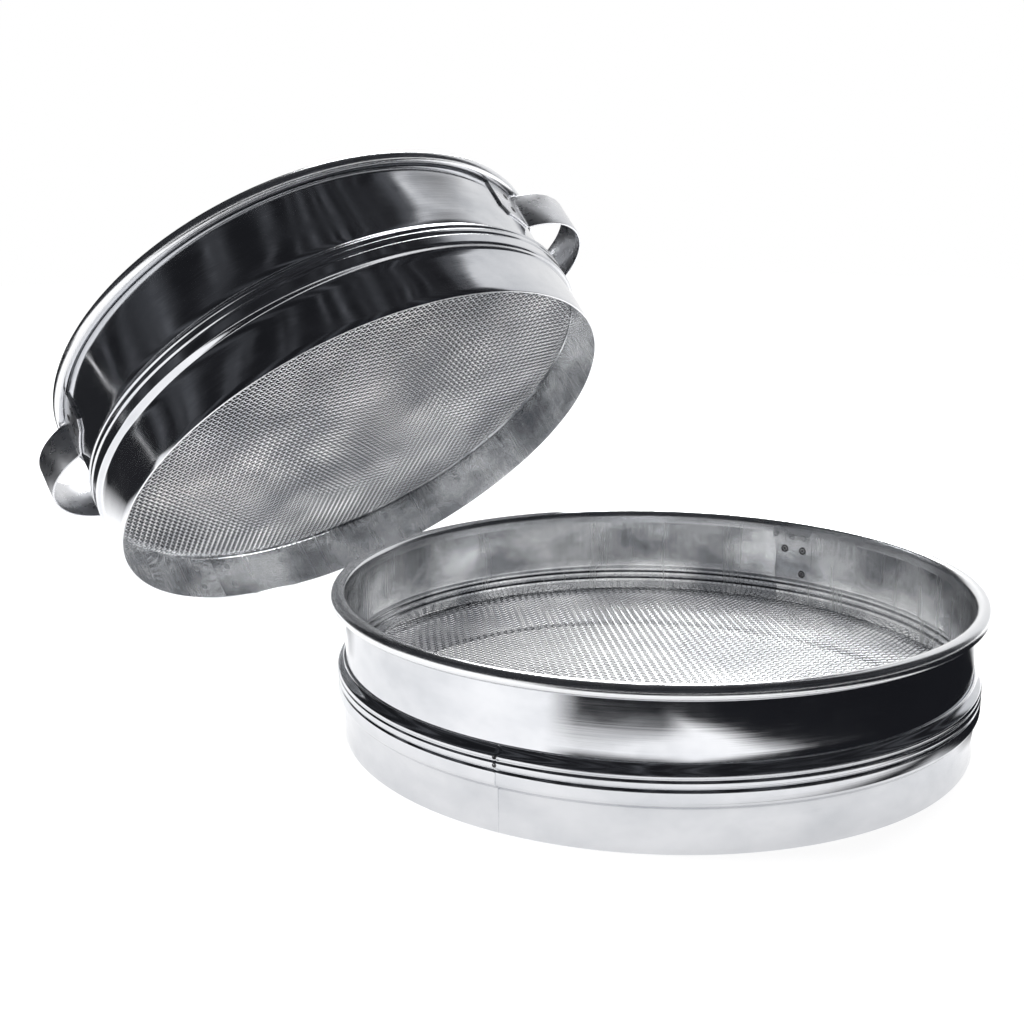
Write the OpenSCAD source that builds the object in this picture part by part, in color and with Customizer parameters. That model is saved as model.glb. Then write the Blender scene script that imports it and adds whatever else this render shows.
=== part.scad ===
// Double honey strainer: two round stainless-steel sieves of one diameter.
// Each sieve is an inner drum with a wired rim, an outer collar, and a mesh
// disc caught between them under a bead that is rolled through both.
// The lower sieve stands at the origin. The upper one is tilted beside it and
// rests on the lowest point of its bottom edge.

/* [Sheet metal] */
// Outside diameter of the plain wall of both drums
drum_d = 240; // [200:1:300]
// Thickness of the drum and collar sheet
sheet_t = 0.7; // [0.5:0.05:0.9]
// Play between pieces that are pressed together
press_gap = 0.05; // [0.03:0.01:0.08]
// Width of the lap where a hoop's two ends overlap
lap_w = 18; // [12:1:26]
// Step that is left inside a hoop at its lap
lap_step = 0.3; // [0.2:0.05:0.5]
// Width of the line that a lap leaves outside
seam_w = 0.5; // [0.3:0.1:1]
// Depth of that line
seam_d = 0.2; // [0.1:0.05:0.3]

/* [Rolled rim] */
// Diameter of the wire that stiffens each rim
rim_wire_d = 4; // [3:0.25:5]
// Play between the wire and the sheet curled round it
wire_gap = 0.1; // [0.05:0.05:0.2]
// Angle that the sheet turns round the wire
curl_turn = 300; // [270:5:305]

/* [Bead and collar] */
// Height of the bead above the mesh, up to the collar's top edge
bead_h = 12.8; // [11:0.2:16]
// How far the bead stands out from the drum wall
bead_out = 2.4; // [1.6:0.1:3]
// Height of the flare that leads from the wall to the bead
flare_h = 3.4; // [2.4:0.2:4.4]
// Depth of the two grooves that part the bead's ridges
groove_d = 0.45; // [0.2:0.05:0.7]
// Width of each groove
groove_w = 1.8; // [1.2:0.1:2.4]
// Height of the upper groove above the mesh
high_groove_z = 8.2; // [7.4:0.1:9]
// Height of the lower groove above the mesh
low_groove_z = 5.1; // [4:0.1:5.8]
// How far the collar's plain lower wall stands out from the drum wall
spigot_out = 1.3; // [1:0.1:1.7]
// Height of the shoulder under the mesh, where the bead runs in again
shoulder_h = 2.9; // [2.2:0.1:4]

/* [Lower sieve] */
// Whole height of the lower sieve
lower_h = 56.5; // [50:0.5:80]
// Height of its mesh above the bottom edge
lower_mesh_z = 17.3; // [12:0.1:22]
// Direction of the drum's lap, seen from above
lower_drum_lap = 102; // [0:1:359]
// Direction of the collar's lap, seen from above
lower_collar_lap = 287; // [0:1:359]

/* [Upper sieve] */
// Whole height of the upper sieve
upper_h = 77; // [66:0.5:100]
// Height of its mesh above the bottom edge
upper_mesh_z = 25.5; // [18:0.5:30]
// Direction of the drum's lap, from the sieve's own X axis
upper_drum_lap = 205; // [0:1:359]
// Direction of the collar's lap, from the sieve's own X axis
upper_collar_lap = 195; // [0:1:359]
// Lean of the upper sieve's axis away from upright
tilt = 42.5; // [30:0.5:55]
// Clear distance from the lower rim to the plane of the upper sieve's bottom edge
stand_off = 48; // [30:1:80]
// Sideways place of the upper sieve
upper_y = -8.5; // [-30:0.5:30]

/* [Mesh] */
// Thickness of the woven disc
mesh_t = 0.6; // [0.4:0.05:0.8]
// Wires each way in this simplified net
mesh_wires = 14; // [8:1:16]
// Width of a wire in this simplified net
mesh_wire_w = 0.9; // [0.6:0.1:1.4]
// Width of the pressed edge of the net
mesh_edge_w = 2.2; // [1.6:0.1:3]
// Play round the edge of the mesh
mesh_gap = 0.12; // [0.05:0.01:0.2]
// Turn of the lower sieve's weave
lower_mesh_turn = 8; // [0:1:89]
// Turn of the upper sieve's weave
upper_mesh_turn = 35; // [0:1:89]

/* [Handles] */
// Width of the handle strap
strap_w = 18.5; // [12:0.5:24]
// Thickness of the handle strap
strap_t = 1; // [0.8:0.1:1.6]
// Outside radius of the handle's bow
bow_r = 39; // [34:0.5:44]
// How far the bow stands out from the drum wall
bow_reach = 22; // [20:0.5:26]
// Length of each foot that lies on the wall
foot_length = 24; // [18:1:30]
// Size of the clipped lower corner of a foot
foot_clip = 4; // [2:0.5:6]
// Gap between the strap and the rim above it
strap_drop = 0.5; // [0.3:0.1:3]
// Direction of the left handle, from the sieve's own X axis
handle_turn = 230; // [0:1:359]

/* [Spot welds] */
// Diameter of a spot weld's mark
weld_d = 3.6; // [2.4:0.2:5]
// Height of a spot weld's mark above the sheet
weld_h = 0.3; // [0.2:0.05:0.4]
// Diameter of the small weld marks where the collar's seam crosses the bead
seam_weld_d = 1.6; // [1:0.1:2]

/* [Hidden] */
$fn = 120;

steel = [0.74, 0.75, 0.77];
bright_steel = [0.84, 0.85, 0.87];
wire_steel = [0.56, 0.58, 0.61];
weld_grey = [0.45, 0.47, 0.50];

drum_r = drum_d / 2;
spigot_r = drum_r + spigot_out;
roll_r = rim_wire_d / 2 + wire_gap + sheet_t;
roll_c = drum_r - sheet_t + roll_r;
rim_r = roll_c + roll_r;
bead_step = 0.45;
// How far the curl and the wall run together, as an angle of the curl
curl_join = 8;
round_fn = 36;
// Heights of the collar's welds, as shares of its plain wall
collar_weld_rows = [0.3, 0.8];
// Heights of a foot's welds, as shares of the strap's width below its top edge
foot_weld_rows = [0.3, 0.72];

// The upper sieve's lowest edge point is on the floor, and the plane of its
// bottom edge passes the lower rim at the stand-off distance
low_reach = (stand_off + lower_h * cos(tilt)) / sin(tilt);
upper_x = low_reach + rim_r - spigot_r * cos(tilt);
upper_z = spigot_r * sin(tilt);

// Heights in the bead are counted from the middle of the mesh
drum_edge = mesh_t / 2 + mesh_gap;
mesh_r = collar_r(-mesh_t / 2) - sheet_t - mesh_gap;

function ease(t) = (1 - cos(180 * max(0, min(1, t)))) / 2;
function notch(z, at) =
    let (d = 2 * abs(z - at) / groove_w)
    d < 1 ? groove_d * (1 + cos(180 * d)) / 2 : 0;

// Outside radius of the drum at a height in the bead
function bead_r(z) =
    drum_r + bead_out * ease((bead_h - z) / flare_h)
    - notch(z, high_groove_z) - notch(z, low_groove_z);

// Outside radius of the collar, which follows the drum and then the shoulder
function collar_r(z) =
    let (full = bead_r(max(z, drum_edge)) + press_gap + sheet_t)
    z >= drum_edge ? full
    : spigot_r + (full - spigot_r) * ease((z - drum_edge + shoulder_h) / shoulder_h);

// Evenly spaced heights from one level to another
function levels(low, high) =
    let (count = ceil((high - low) / bead_step))
    [for (i = [0:count]) low + (high - low) * i / count];

// A sheet whose outer face follows a list of [radius, height] points
module sheet_profile(outer) {
    inner = [for (i = [len(outer) - 1:-1:0]) [outer[i][0] - sheet_t, outer[i][1]]];
    polygon(concat(outer, inner));
}

// The wedge that the curl leaves open between its edge and the wall. It starts
// a little below the curl's middle, so that the curl runs on into the wall.
module curl_mouth() {
    start = 180 + curl_join;
    end = 540 - curl_turn;
    reach = 2 * roll_r;
    polygon([[0, 0], [reach * cos(start), reach * sin(start)], [-reach, -reach],
             [reach * cos(end), reach * sin(end)]]);
}

module rim_curl(height) {
    translate([roll_c, height - roll_r])
        difference() {
            circle(r = roll_r, $fn = round_fn);
            circle(r = roll_r - sheet_t, $fn = round_fn);
            curl_mouth();
        }
}

module drum_wall(height, mesh_z) {
    bead = [for (z = levels(drum_edge, bead_h)) [bead_r(z), mesh_z + z]];
    sheet_profile(concat(bead, [[drum_r, height - roll_r]]));
}

// A lap is a second layer inside the wall, from the bead to the rim
module drum_lap(height, mesh_z, turn) {
    low = mesh_z + bead_h + sheet_t;
    inner_r = drum_r - sheet_t;
    angle = lap_w / drum_r * 180 / PI;
    rotate([0, 0, turn - angle])
        rotate_extrude(angle = angle)
            translate([inner_r - lap_step, low])
                square([lap_step + sheet_t / 2, height - roll_r - low]);
}

module drum(height, mesh_z, turn) {
    union() {
        rotate_extrude() drum_wall(height, mesh_z);
        rotate_extrude() rim_curl(height);
        drum_lap(height, mesh_z, turn);
    }
}

module rim_wire(height) {
    translate([0, 0, height - roll_r])
        rotate_extrude()
            translate([roll_c, 0]) circle(d = rim_wire_d, $fn = round_fn);
}

// Outer face of the collar as [radius, height] points, from its bottom edge up
function collar_face(mesh_z) =
    concat([[spigot_r, 0]],
           [for (z = levels(drum_edge - shoulder_h, drum_edge)) [collar_r(z), mesh_z + z]],
           [for (z = levels(drum_edge, bead_h)) if (z > drum_edge) [collar_r(z), mesh_z + z]]);

// Top of the plain wall below the shoulder
function spigot_top(mesh_z) = mesh_z + drum_edge - shoulder_h - sheet_t;

// The collar's lap is a second layer inside its plain lower wall
module collar_lap(mesh_z, turn) {
    angle = lap_w / spigot_r * 180 / PI;
    rotate([0, 0, turn - angle])
        rotate_extrude(angle = angle)
            translate([spigot_r - sheet_t - lap_step, 0])
                square([lap_step + sheet_t / 2, spigot_top(mesh_z)]);
}

// The sheet's outer end shows as a fine line from top to bottom
module seam_line(mesh_z, turn) {
    face = collar_face(mesh_z);
    out = [for (p = face) [p[0] + seam_d, p[1]]];
    in = [for (i = [len(face) - 1:-1:0]) [face[i][0] - seam_d, face[i][1]]];
    below = -sheet_t;
    rotate([0, 0, turn])
        rotate_extrude(angle = seam_w / spigot_r * 180 / PI)
            polygon(concat([[spigot_r + seam_d, below]], out, in, [[spigot_r - seam_d, below]]));
}

module collar(mesh_z, turn) {
    difference() {
        union() {
            rotate_extrude() sheet_profile(collar_face(mesh_z));
            collar_lap(mesh_z, turn);
        }
        seam_line(mesh_z, turn);
    }
}

module net(mesh_z, turn) {
    pitch = 2 * mesh_r / (mesh_wires + 1);
    field = mesh_r - mesh_edge_w / 2;
    translate([0, 0, mesh_z - mesh_t / 2])
        rotate([0, 0, turn])
            linear_extrude(mesh_t) {
                difference() {
                    circle(r = mesh_r);
                    circle(r = mesh_r - mesh_edge_w);
                }
                for (i = [1:mesh_wires]) {
                    off = i * pitch - mesh_r;
                    half = sqrt(field * field - off * off);
                    translate([off - mesh_wire_w / 2, -half]) square([mesh_wire_w, 2 * half]);
                    translate([-half, off - mesh_wire_w / 2]) square([2 * half, mesh_wire_w]);
                }
            }
}

// A round mark on a wall of the given radius, facing outwards
module weld_mark(wall_r, angle, z, d) {
    rotate([0, 0, angle])
        translate([wall_r + press_gap, 0, z])
            rotate([0, 90, 0]) cylinder(h = weld_h, d = d, $fn = round_fn);
}

// The same on the inside of a wall, facing the axis
module inner_weld_mark(wall_r, angle, z) {
    chord_r = sqrt(wall_r * wall_r - weld_d * weld_d / 4);
    rotate([0, 0, angle])
        translate([chord_r - press_gap - weld_h, 0, z])
            rotate([0, 90, 0]) cylinder(h = weld_h, d = weld_d, $fn = round_fn);
}

// Two marks side by side near the rim and one above the bead hold the drum's lap
module drum_welds(height, mesh_z, turn) {
    wall_r = drum_r - sheet_t - lap_step;
    quarter = lap_w / drum_r * 45 / PI;
    low = mesh_z + bead_h + sheet_t + weld_d / 2;
    high = height - 2 * roll_r - 2 * weld_d;
    inner_weld_mark(wall_r, turn - quarter, high);
    inner_weld_mark(wall_r, turn - 3 * quarter, high);
    inner_weld_mark(wall_r, turn - 3 * quarter, low);
}

// Marks hold the collar's lap and, on the other side, stand below the drum's lap.
// Two small ones close the seam on the ridges of the bead.
module collar_welds(mesh_z, turn, drum_lap_turn) {
    wall_r = spigot_r - sheet_t;
    middle = lap_w / spigot_r * 90 / PI;
    top = spigot_top(mesh_z);
    for (share = collar_weld_rows) {
        inner_weld_mark(wall_r - lap_step, turn - middle, share * top);
        inner_weld_mark(wall_r, drum_lap_turn - middle, share * top);
    }
    for (z = [bead_h - flare_h, (high_groove_z + low_groove_z) / 2])
        weld_mark(collar_r(z), turn, mesh_z + z, seam_weld_d);
}

// Handle: a bow of strap with two feet that wrap the drum wall
foot_in_r = drum_r + press_gap;
foot_out_r = foot_in_r + strap_t;
bow_c = drum_r + bow_reach - bow_r;
bow_angle = acos((pow(foot_out_r, 2) + pow(bow_c, 2) - pow(bow_r, 2)) / (2 * foot_out_r * bow_c));
foot_angle = foot_length / foot_out_r * 180 / PI;
strap_top = upper_h - 2 * roll_r - strap_drop;
bow_inner_angle =
    acos((pow(foot_out_r, 2) + pow(bow_c, 2) - pow(bow_r - strap_t, 2)) / (2 * foot_out_r * bow_c));

// The foot starts just inside the bow, where the strap's bend fills the corner
module foot_plan(side) {
    far = 2 * drum_r;
    near_a = side * (bow_inner_angle - strap_t / foot_out_r * 180 / PI);
    end_a = side * (bow_angle + foot_angle);
    intersection() {
        difference() {
            circle(r = foot_out_r);
            circle(r = foot_in_r);
        }
        polygon([[0, 0], [far * cos(near_a), far * sin(near_a)],
                 [far * cos(end_a), far * sin(end_a)]]);
    }
}

module bow_plan() {
    difference() {
        translate([bow_c, 0]) circle(r = bow_r);
        translate([bow_c, 0]) circle(r = bow_r - strap_t);
        circle(r = foot_in_r);
        translate([-drum_d, -drum_d]) square([drum_d + bow_c, 2 * drum_d]);
    }
}

// A block whose upper face cuts the foot's lower corner off at 45 degrees
module foot_corner(side) {
    block = 3 * foot_clip;
    rotate([0, 0, side * (bow_angle + foot_angle)])
        translate([foot_in_r + strap_t / 2, 0, strap_top - strap_w])
            rotate([side * 45, 0, 0])
                translate([0, 0, foot_clip / sqrt(2) - block / 2])
                    cube(block, center = true);
}

module handle(turn) {
    rotate([0, 0, turn])
        difference() {
            translate([0, 0, strap_top - strap_w])
                linear_extrude(strap_w) {
                    bow_plan();
                    foot_plan(1);
                    foot_plan(-1);
                }
            foot_corner(1);
            foot_corner(-1);
        }
}

module handle_welds(turn) {
    for (side = [-1, 1], share = foot_weld_rows)
        rotate([0, 0, turn])
            weld_mark(foot_out_r, side * (bow_angle + foot_angle / 2), strap_top - strap_w * share,
                      weld_d);
}

module place_upper() {
    translate([-upper_x, upper_y, upper_z])
        rotate([0, -tilt, 0]) children();
}

module lower_drum() { color(steel) drum(lower_h, lower_mesh_z, lower_drum_lap); }
module lower_rim_wire() { color(wire_steel) rim_wire(lower_h); }
module lower_collar() { color(bright_steel) collar(lower_mesh_z, lower_collar_lap); }
module lower_mesh() { color(wire_steel) net(lower_mesh_z, lower_mesh_turn); }
module lower_drum_welds() { color(weld_grey) drum_welds(lower_h, lower_mesh_z, lower_drum_lap); }
module lower_collar_welds() {
    color(weld_grey) collar_welds(lower_mesh_z, lower_collar_lap, lower_drum_lap);
}

module upper_drum() { color(steel) place_upper() drum(upper_h, upper_mesh_z, upper_drum_lap); }
module upper_rim_wire() { color(wire_steel) place_upper() rim_wire(upper_h); }
module upper_collar() { color(bright_steel) place_upper() collar(upper_mesh_z, upper_collar_lap); }
module upper_mesh() { color(wire_steel) place_upper() net(upper_mesh_z, upper_mesh_turn); }
module upper_drum_welds() {
    color(weld_grey) place_upper() drum_welds(upper_h, upper_mesh_z, upper_drum_lap);
}
module upper_collar_welds() {
    color(weld_grey) place_upper() collar_welds(upper_mesh_z, upper_collar_lap, upper_drum_lap);
}
module left_handle() { color(bright_steel) place_upper() handle(handle_turn); }
module right_handle() { color(bright_steel) place_upper() handle(handle_turn + 180); }
module left_handle_welds() { color(weld_grey) place_upper() handle_welds(handle_turn); }
module right_handle_welds() { color(weld_grey) place_upper() handle_welds(handle_turn + 180); }

lower_drum();
lower_rim_wire();
lower_collar();
lower_mesh();
lower_drum_welds();
lower_collar_welds();
upper_drum();
upper_rim_wire();
upper_collar();
upper_mesh();
upper_drum_welds();
upper_collar_welds();
left_handle();
right_handle();
left_handle_welds();
right_handle_welds();
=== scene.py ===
# %% [markdown]
# # A double honey strainer in stainless steel
# Two round sieves of one diameter are rolled from thin sheet, and a disc of woven wire
# is caught in each under a bead. The CAD model already fixes every size and place. This
# lesson adds what the eye sees: the rolled sheet as one smooth skin, every wire of the
# cloth, the weld marks, and steel that mirrors a studio.

# %% Load the frame
from math import acos, atan2, ceil, cos, degrees, pi, radians, sin

import bmesh
import bpy
import numpy as np
from mathutils import Matrix, Vector


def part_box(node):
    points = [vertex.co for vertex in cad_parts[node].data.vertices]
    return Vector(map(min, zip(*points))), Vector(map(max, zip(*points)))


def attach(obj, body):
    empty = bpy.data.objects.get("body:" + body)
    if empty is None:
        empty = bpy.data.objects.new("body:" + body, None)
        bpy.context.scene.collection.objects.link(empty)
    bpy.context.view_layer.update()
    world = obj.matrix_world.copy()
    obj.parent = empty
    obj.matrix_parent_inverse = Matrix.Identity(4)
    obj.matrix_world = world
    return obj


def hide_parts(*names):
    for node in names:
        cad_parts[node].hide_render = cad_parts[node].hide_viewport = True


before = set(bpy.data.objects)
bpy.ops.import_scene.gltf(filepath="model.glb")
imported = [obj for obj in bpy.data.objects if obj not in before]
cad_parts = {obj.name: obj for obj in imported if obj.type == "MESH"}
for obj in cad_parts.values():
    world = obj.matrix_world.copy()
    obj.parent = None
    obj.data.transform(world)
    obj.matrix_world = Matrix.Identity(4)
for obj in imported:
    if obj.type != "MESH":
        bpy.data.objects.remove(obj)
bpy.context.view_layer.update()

MM = 0.001

# %% [markdown]
# ## Sizes
# Real sieves come from a few tools: one roller for the hoops, one pair of bead wheels,
# one curling tool. So a few driving sizes describe both. The large ones are measured on
# the frame, and the small ones are the gauges of the sheet, the wire and the tools.

# %% Sizes in millimetres
SHEET = 0.7
PRESS_GAP = 0.05
WIRE_D = 4.0
WIRE_GAP = 0.1
CURL_TURN = 300
LAP_W = 18
LAP_STEP = 0.3
SEAM_W = 0.5
SEAM_D = 0.2
BEAD_H = 12.8
BEAD_OUT = 2.4
FLARE_H = 3.4
GROOVE_D = 0.45
GROOVE_W = 1.8
GROOVES = (8.2, 5.1)
SHOULDER_H = 2.9
SPIGOT_OUT = 1.3
MESH_T = 0.6
MESH_GAP = 0.12
STRAP_W = 18.5
STRAP_T = 1.0
BOW_R = 39
BOW_REACH = 22
FOOT_LENGTH = 24
FOOT_CLIP = 4
STRAP_DROP = 0.5
TILT = 42.5

rim_low, rim_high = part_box("lower_drum")
collar_low, collar_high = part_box("lower_collar")
ROLL_R = WIRE_D / 2 + WIRE_GAP + SHEET
RIM_R = (rim_high.x - rim_low.x) / 2 / MM
DRUM_R = RIM_R + SHEET - 2 * ROLL_R
SPIGOT_R = DRUM_R + SPIGOT_OUT
ROLL_C = RIM_R - ROLL_R
DRUM_EDGE = MESH_T / 2 + MESH_GAP
print(f"rim radius {RIM_R:.2f} mm, drum radius {DRUM_R:.2f} mm")

# %% Heights and laps of the two sieves
LOWER = {"height": rim_high.z / MM, "mesh_z": 17.3, "drum_lap": 102, "collar_lap": 287}
UPPER = {"height": 77.0, "mesh_z": 25.5, "drum_lap": 205, "collar_lap": 195}
HANDLE_TURNS = {"left": 230, "right": 50}
print("heights:", round(LOWER["height"], 2), "and", UPPER["height"], "mm")

# %% Where the upper sieve stands
def upper_place():
    """Turns the sieve by its tilt and puts its rim's centre where the frame has it."""
    turn = Matrix.Rotation(radians(-TILT), 4, "Y")
    low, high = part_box("upper_rim_wire")
    rim_centre = (low + high) / 2
    rim_in_sieve = Vector((0, 0, (UPPER["height"] - ROLL_R) * MM))
    return Matrix.Translation(rim_centre - turn @ rim_in_sieve) @ turn


PLACE = {"lower": Matrix.Identity(4), "upper": upper_place()}
print("upper sieve's foot centre:", [round(v / MM, 1) for v in PLACE["upper"].translation])

# %% [markdown]
# ## The rolled profile
# A hoop starts as a flat strip. Its edge is curled round a wire, which makes a strong and
# safe rim. Then wheels press a bead through drum and collar together, with the cloth
# between them, so the three lock without rivets. The profile could be drawn by hand with
# a curve, but formulas keep drum and collar parallel, as the real wheels do.

# %% Profile formulas
def ease(t):
    return (1 - cos(pi * max(0, min(1, t)))) / 2


def notch(z, at):
    d = 2 * abs(z - at) / GROOVE_W
    return GROOVE_D * (1 + cos(pi * d)) / 2 if d < 1 else 0


def bead_radius(z):
    """Outer radius of the drum, at a height above the cloth."""
    swell = BEAD_OUT * ease((BEAD_H - z) / FLARE_H)
    return DRUM_R + swell - sum(notch(z, at) for at in GROOVES)


def collar_radius(z):
    """Outer radius of the collar, which follows the drum and runs in below the cloth."""
    full = bead_radius(max(z, DRUM_EDGE)) + PRESS_GAP + SHEET
    if z >= DRUM_EDGE:
        return full
    return SPIGOT_R + (full - SPIGOT_R) * ease((z - DRUM_EDGE + SHOULDER_H) / SHOULDER_H)


def levels(low, high, step):
    count = ceil((high - low) / step)
    return [low + (high - low) * i / count for i in range(count + 1)]


widest = max(collar_radius(z) for z in levels(0, BEAD_H, 0.1))
print(f"collar radius: {widest:.2f} mm by formula,",
      f"{(collar_high.x - collar_low.x) / 2 / MM:.2f} mm in the frame")

# %% The drum's closed profile
BEAD_STEP = 0.3
WALL_STEP = 3.0
CURL_STEP = 12
CURL_FROM = 180
OUT, IN, EDGE, ROLL = 0, 1, 2, 3
SLOT = {OUT: 0, IN: 1, EDGE: 2, ROLL: 2}


def curl(r, height, start, end):
    """Points of the curl round the rim wire, as (radius, height)."""
    angles = [radians(a) for a in np.arange(start, end, CURL_STEP if end > start else -CURL_STEP)]
    return [(ROLL_C + r * cos(a), height - ROLL_R + r * sin(a)) for a in angles]


def drum_profile(height, mesh_z):
    """A loop of (radius, height, face): up outside, round the curl, down inside."""
    bead = levels(DRUM_EDGE, BEAD_H, BEAD_STEP)
    wall = levels(BEAD_H, height - ROLL_R - mesh_z, WALL_STEP)[1:-1]
    outside = [(bead_radius(z), mesh_z + z) for z in bead]
    outside += [(DRUM_R, mesh_z + z) for z in wall]
    outside += curl(ROLL_R - SHEET, height, CURL_FROM, CURL_FROM - CURL_TURN)
    lip = radians(CURL_FROM - CURL_TURN)
    mid = ROLL_R - SHEET / 2
    edge = [(ROLL_C + mid * cos(lip) - SHEET / 2 * cos(lip + pi / 2),
             height - ROLL_R + mid * sin(lip) - SHEET / 2 * sin(lip + pi / 2))]
    roll = curl(ROLL_R, height, CURL_FROM - CURL_TURN, CURL_FROM + 1)
    inside = [(DRUM_R - SHEET, mesh_z + z) for z in reversed(wall)]
    inside += [(bead_radius(z) - SHEET, mesh_z + z) for z in reversed(bead)]
    parts = ((OUT, outside), (EDGE, edge), (ROLL, roll), (IN, inside))
    return [(r, z, face) for face, points in parts for r, z in points]


# %% The collar's closed profile
def round_edge(z_centre, start, end):
    """Half a circle across the sheet's edge."""
    angles = [radians(a) for a in np.linspace(start, end, 5)]
    return [(SHEET / 2 * cos(a), z_centre + SHEET / 2 * sin(a), EDGE) for a in angles]


def collar_profile(mesh_z):
    """A loop of (radius, height, face): up outside, over the top edge, down inside."""
    half = SHEET / 2
    foot = levels(half, mesh_z + DRUM_EDGE - SHOULDER_H, WALL_STEP)[:-1]
    band = levels(DRUM_EDGE - SHOULDER_H, DRUM_EDGE, BEAD_STEP)[:-1]
    band += levels(DRUM_EDGE, BEAD_H - half, BEAD_STEP)
    face = [(SPIGOT_R, z) for z in foot] + [(collar_radius(z), mesh_z + z) for z in band]
    top = [(collar_radius(BEAD_H - half) - half + r, z, e)
           for r, z, e in round_edge(mesh_z + BEAD_H - half, 30, 150)]
    bottom = [(SPIGOT_R - half + r, z, e) for r, z, e in round_edge(half, 210, 330)]
    return ([(r, z, OUT) for r, z in face] + top
            + [(r - SHEET, z, IN) for r, z in reversed(face)] + bottom)


print("drum profile points:", len(drum_profile(LOWER["height"], LOWER["mesh_z"])),
      "collar:", len(collar_profile(LOWER["mesh_z"])))

# %% [markdown]
# ## From profile to hoop
# The profile is turned round the axis. The Screw modifier would do that too, but building
# the rings here lets three real things in: the step where the strip's end laps over, the
# fine line that its edge leaves outside, and the slight waves that thin sheet keeps after
# rolling. A mirror shows waves of a tenth of a millimetre, so they matter to the eye. The
# UV map is the flat strip itself, in metres, so that brushed lines run round the hoop.

# %% Directions round a hoop
LAP_TURN = degrees(LAP_W / DRUM_R)
LINE_TURN = degrees(SEAM_W / 2 / DRUM_R)
print(f"the lap is {LAP_TURN:.1f} degrees wide")


def hoop_directions(line_at):
    """Degrees on from the lap's end, with close ones at the lap's steps and the line."""
    steps = [0, 360 - LINE_TURN, 360 - LAP_TURN, 360 - LAP_TURN - LINE_TURN]
    near = np.array(steps + [line_at, line_at - LINE_TURN, line_at + LINE_TURN])
    even = [a for a in range(1, 360) if np.abs(near - a).min() > LINE_TURN]
    return np.unique(np.round(np.append(near, even), 5))


# %% Waves in the sheet
WAVE_H = 0.1
WAVE_FADE = 6
WAVES = ((3, 0.8), (7, 0.5), (11, 0.35), (17, 0.2))


def sheet_wave(turned, z, seed):
    """How far the wall lies off a true circle, in millimetres."""
    rng = np.random.default_rng(seed)
    total = 0
    for count, share in WAVES:
        phase, lean = rng.uniform(0, 2 * pi), rng.uniform(-0.03, 0.03)
        total = total + share * np.sin(np.radians(turned) * count + phase + lean * z * count / 3)
    return WAVE_H * total


# %% Turn a profile into a hoop
def turned_hoop(name, profile, lap_end, line_at, wall, seed, materials):
    """wall is the stretch of plain sheet, from low to high, that waves and holds the lap."""
    turned = hoop_directions(line_at)
    around = np.radians(lap_end + turned)
    r, z, face = (np.array(column) for column in zip(*profile))
    fade = np.clip(np.minimum(z - wall[0], wall[1] - z) / WAVE_FADE, 0, 1) ** 2
    radius = r[None, :] + fade[None, :] * sheet_wave(turned[:, None], z[None, :], seed)
    on_lap = (turned > 360 - LAP_TURN - LINE_TURN / 2) & (turned < 360 - LINE_TURN / 2)
    lapped = (face == IN) & (z > wall[0]) & (z < wall[1])
    radius -= LAP_STEP * on_lap[:, None] * lapped[None, :]
    on_line = np.abs(turned - line_at) < LINE_TURN / 2
    radius -= SEAM_D * on_line[:, None] * (face == OUT)[None, :]
    points = np.stack([radius * np.cos(around)[:, None], radius * np.sin(around)[:, None],
                       np.broadcast_to(z, radius.shape)], axis=-1) * MM
    return skin(name, points, turned, face, materials)


# %% Sew the rings together
SHARP = radians(38)


def link(obj):
    bpy.context.scene.collection.objects.link(obj)
    return obj


def skin(name, points, turned, face, materials):
    """Quads between the rings, with the flat strip as UV map."""
    count, size = points.shape[:2]
    i, j = np.meshgrid(np.arange(count), np.arange(size), indexing="ij")
    i2, j2 = (i + 1) % count, (j + 1) % size
    quads = np.stack([i * size + j, i2 * size + j, i2 * size + j2, i * size + j2], axis=-1)
    mesh = bpy.data.meshes.new(name)
    mesh.from_pydata(points.reshape(-1, 3).tolist(), [], quads.reshape(-1, 4).tolist())
    u = np.radians(np.append(turned, 360)) * DRUM_R * MM
    ring = points[0]
    v = np.append(0, np.cumsum(np.linalg.norm(np.roll(ring, -1, 0) - ring, axis=1)))
    corners = [np.stack([u[i + a], v[j + b]], -1) for a, b in ((0, 0), (1, 0), (1, 1), (0, 1))]
    mesh.uv_layers.new(name="strip").data.foreach_set("uv", np.stack(corners, axis=2).ravel())
    slots = np.array([SLOT[kind] for kind in face])
    mesh.polygons.foreach_set("material_index", slots[j].ravel())
    for material in materials:
        mesh.materials.append(material)
    mesh.shade_smooth()
    mesh.set_sharp_from_angle(angle=SHARP)
    return link(bpy.data.objects.new(name, mesh))


# %% [markdown]
# ## Steel
# Everything here is one metal, stainless steel, but each piece was finished in its own
# way, so there is a material for each finish. All are fully metallic, and what differs is
# the roughness, the bump and a little colour.

# %% Colour and node helpers
def linear(code):
    """An sRGB hex colour as linear RGBA."""
    parts = [int(code[k:k + 2], 16) / 255 for k in (1, 3, 5)]
    return (*[p / 12.92 if p <= 0.04045 else ((p + 0.055) / 1.055) ** 2.4 for p in parts], 1)


def add(tree, kind, inputs=None, **settings):
    """Adds a node, with its settings, and its inputs as numbers or as other nodes' outputs."""
    node = tree.nodes.new(kind)
    for name, value in settings.items():
        setattr(node, name, value)
    for name, value in (inputs or {}).items():
        if isinstance(value, bpy.types.NodeSocket):
            tree.links.new(value, node.inputs[name])
        else:
            node.inputs[name].default_value = value
    return node


def new_material(name):
    """A material and its empty tree."""
    material = bpy.data.materials.new(name)
    material.use_nodes = True
    material.node_tree.nodes.clear()
    return material, material.node_tree


def show(tree, shader):
    """Gives a shader to the material's output."""
    add(tree, "ShaderNodeOutputMaterial", {"Surface": shader.outputs[0]})


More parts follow.
